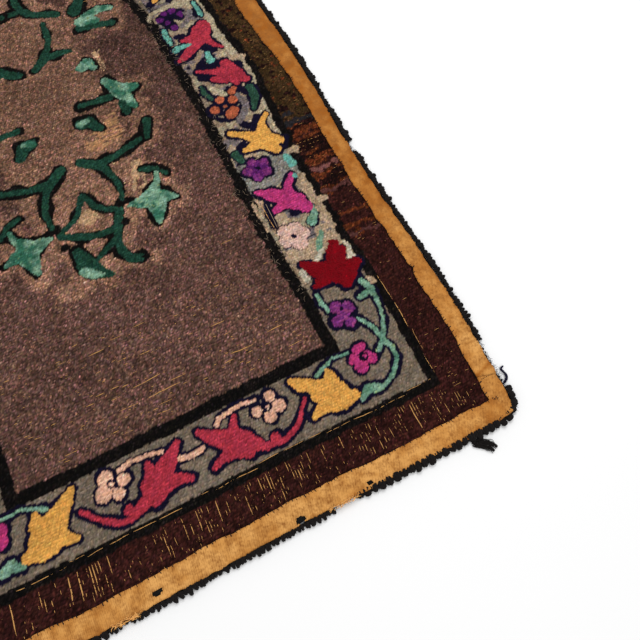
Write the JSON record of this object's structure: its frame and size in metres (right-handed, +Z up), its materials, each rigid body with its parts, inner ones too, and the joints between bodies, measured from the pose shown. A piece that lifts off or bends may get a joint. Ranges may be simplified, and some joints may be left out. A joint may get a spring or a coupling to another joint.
{
  "type": "hooked rug",
  "caption": "Rectangular hooked rug lying flat, sewn side up, with a floral border round a plain field, a leafy scroll, twill tape binding and a black yarn edge.",
  "frame": {"origin": "on the floor, under the middle of the rug", "axes": "+Y along the long sides, +X across, +Z up; the near right corner, at +X and -Y, has the lapped end of the tape and the loose ends of yarn"},
  "size_m": [1.01, 1.8314, 0.0093],
  "materials": {
    "wool": "matte hooked wool on burlap",
    "twill_tape": "matte cotton twill",
    "black_yarn": "matte wool yarn",
    "navy_yarn": "matte wool yarn"
  },
  "bodies": {
    "root": {"hooked_ground": "wool", "binding_tape": "twill_tape", "edging_right_far": "black_yarn", "edging_right_near": "black_yarn", "edging_corner": "black_yarn", "edging_front": "black_yarn", "edging_left": "black_yarn", "edging_back": "black_yarn", "loose_yarn": "navy_yarn", "loose_end_1": "black_yarn", "loose_end_2": "black_yarn"}
  },
  "joints": []
}
